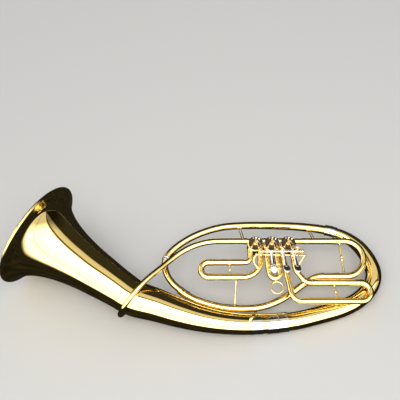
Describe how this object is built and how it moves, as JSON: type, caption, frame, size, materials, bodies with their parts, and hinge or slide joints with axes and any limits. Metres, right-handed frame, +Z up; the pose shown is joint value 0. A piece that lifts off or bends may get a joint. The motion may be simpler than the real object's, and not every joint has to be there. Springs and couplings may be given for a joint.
{
  "type": "tenor tuba",
  "caption": "Oval tenor tuba with a flared bell, a big bottom bow, rotary valves with levers, and tuning slides that pull out.",
  "frame": {"origin": "centre of the bounding box's base, on the floor that the horn lies on", "axes": "+Z up; +X from the bell's mouth towards the bottom bow; the horn lies on its back with the valve levers up and leans 13.8 degrees on its bell rim and bow"},
  "size_m": [0.7974, 0.313, 0.2331],
  "materials": {
    "lacquered_brass": "polished",
    "nickel_silver": "polished",
    "spring_steel": "satin",
    "rotor_brass": "satin"
  },
  "bodies": {
    "horn": {"bearing_plate_1": "lacquered_brass", "bearing_plate_2": "lacquered_brass", "bearing_plate_3": "lacquered_brass", "bell": "lacquered_brass", "bell_ferrule": "nickel_silver", "bell_rim_bead": "lacquered_brass", "bell_stay_leaf": "lacquered_brass", "bottom_bow": "lacquered_brass", "bow_ferrule": "nickel_silver", "branch_ferrule": "nickel_silver", "inner_branch": "lacquered_brass", "knuckle_1_2": "nickel_silver", "knuckle_2_3": "nickel_silver", "leadpipe": "lacquered_brass", "leadpipe_stay": "lacquered_brass", "lever_axle": "nickel_silver", "lever_bracket": "lacquered_brass", "lever_spring_1": "spring_steel", "lever_spring_2": "spring_steel", "lever_spring_3": "spring_steel", "main_slide_sleeve": "lacquered_brass", "mouthpiece_receiver": "lacquered_brass", "outer_branch": "lacquered_brass", "outer_stay_left": "lacquered_brass", "outer_stay_right": "lacquered_brass", "slide_1_brace": "lacquered_brass", "slide_1_lower_sleeve": "lacquered_brass", "slide_1_stay": "lacquered_brass", "slide_1_upper_sleeve": "lacquered_brass", "slide_2_left_sleeve": "lacquered_brass", "slide_2_right_sleeve": "lacquered_brass", "slide_3_brace": "lacquered_brass", "slide_3_left_sleeve": "lacquered_brass", "slide_3_right_sleeve": "lacquered_brass", "slide_3_stay": "lacquered_brass", "valve_cap_1": "lacquered_brass", "valve_cap_2": "lacquered_brass", "valve_cap_3": "lacquered_brass", "valve_casing_1": "lacquered_brass", "valve_casing_2": "lacquered_brass", "valve_casing_3": "lacquered_brass"},
    "main_slide": {"main_slide": "lacquered_brass", "main_slide_brace": "lacquered_brass"},
    "slide_1": {"slide_1": "lacquered_brass"},
    "slide_2": {"slide_2": "lacquered_brass", "slide_2_ring": "lacquered_brass"},
    "slide_3": {"slide_3": "lacquered_brass"},
    "lever_1": {"lever_1": "nickel_silver"},
    "link_1": {"link_1": "nickel_silver"},
    "rotor_1": {"rotor_1": "rotor_brass", "stop_arm_1": "lacquered_brass"},
    "lever_2": {"lever_2": "nickel_silver"},
    "link_2": {"link_2": "nickel_silver"},
    "rotor_2": {"rotor_2": "rotor_brass", "stop_arm_2": "lacquered_brass"},
    "lever_3": {"lever_3": "nickel_silver"},
    "link_3": {"link_3": "nickel_silver"},
    "rotor_3": {"rotor_3": "rotor_brass", "stop_arm_3": "lacquered_brass"}
  },
  "joints": [
    {"name": "lever_1_press", "type": "hinge", "parent": "horn", "child": "lever_1", "pos_m": [0.17077, -0.01781, 0.12084], "axis": [0.9952, 0, -0.0982], "range_deg": [0, 25], "stiffness_Nm_per_rad": 0.15, "springref_deg": -14.32},
    {"name": "link_1_swing", "type": "hinge", "parent": "lever_1", "child": "link_1", "pos_m": [0.15702, -0.01785, 0.13928], "axis": [0.9952, 0, -0.0982], "range_deg": [-25, 0]},
    {"name": "rotor_1_turn", "type": "hinge", "parent": "horn", "child": "rotor_1", "pos_m": [0.13915, 0.01184, 0.10592], "axis": [0.0958, -0.2188, 0.971], "range_deg": [-90, 0]},
    {"name": "lever_2_press", "type": "hinge", "parent": "horn", "child": "lever_2", "pos_m": [0.19366, -0.01781, 0.11858], "axis": [0.9952, 0, -0.0982], "range_deg": [0, 25], "stiffness_Nm_per_rad": 0.15, "springref_deg": -14.32},
    {"name": "link_2_swing", "type": "hinge", "parent": "lever_2", "child": "link_2", "pos_m": [0.18946, -0.01785, 0.13608], "axis": [0.9952, 0, -0.0982], "range_deg": [-25, 0]},
    {"name": "rotor_2_turn", "type": "hinge", "parent": "horn", "child": "rotor_2", "pos_m": [0.17299, 0.01184, 0.10258], "axis": [0.0958, -0.2188, 0.971], "range_deg": [-90, 0]},
    {"name": "lever_3_press", "type": "hinge", "parent": "horn", "child": "lever_3", "pos_m": [0.21555, -0.01781, 0.11642], "axis": [0.9952, 0, -0.0982], "range_deg": [0, 25], "stiffness_Nm_per_rad": 0.15, "springref_deg": -14.32},
    {"name": "link_3_swing", "type": "hinge", "parent": "lever_3", "child": "link_3", "pos_m": [0.2219, -0.01785, 0.13288], "axis": [0.9952, 0, -0.0982], "range_deg": [-25, 0]},
    {"name": "rotor_3_turn", "type": "hinge", "parent": "horn", "child": "rotor_3", "pos_m": [0.20683, 0.01184, 0.09925], "axis": [0.0958, -0.2188, 0.971], "range_deg": [-90, 0]},
    {"name": "main_slide_pull", "type": "slide", "parent": "horn", "child": "main_slide", "axis": [0.9952, 0, -0.0982], "range_m": [0, 0.022]},
    {"name": "slide_1_pull", "type": "slide", "parent": "horn", "child": "slide_1", "axis": [-0.9952, 0, 0.0982], "range_m": [0, 0.05]},
    {"name": "slide_2_pull", "type": "slide", "parent": "horn", "child": "slide_2", "axis": [0.1, -0.9685, -0.2281], "range_m": [0, 0.02]},
    {"name": "slide_3_pull", "type": "slide", "parent": "horn", "child": "slide_3", "axis": [0.9952, 0, -0.0982], "range_m": [0, 0.07]}
  ],
  "couplings": [
    {"joint": "rotor_1_turn", "follows": "lever_1_press", "ratio": -3.6},
    {"joint": "link_1_swing", "follows": "lever_1_press", "ratio": -1},
    {"joint": "rotor_2_turn", "follows": "lever_2_press", "ratio": -3.6},
    {"joint": "link_2_swing", "follows": "lever_2_press", "ratio": -1},
    {"joint": "rotor_3_turn", "follows": "lever_3_press", "ratio": -3.6},
    {"joint": "link_3_swing", "follows": "lever_3_press", "ratio": -1}
  ]
}
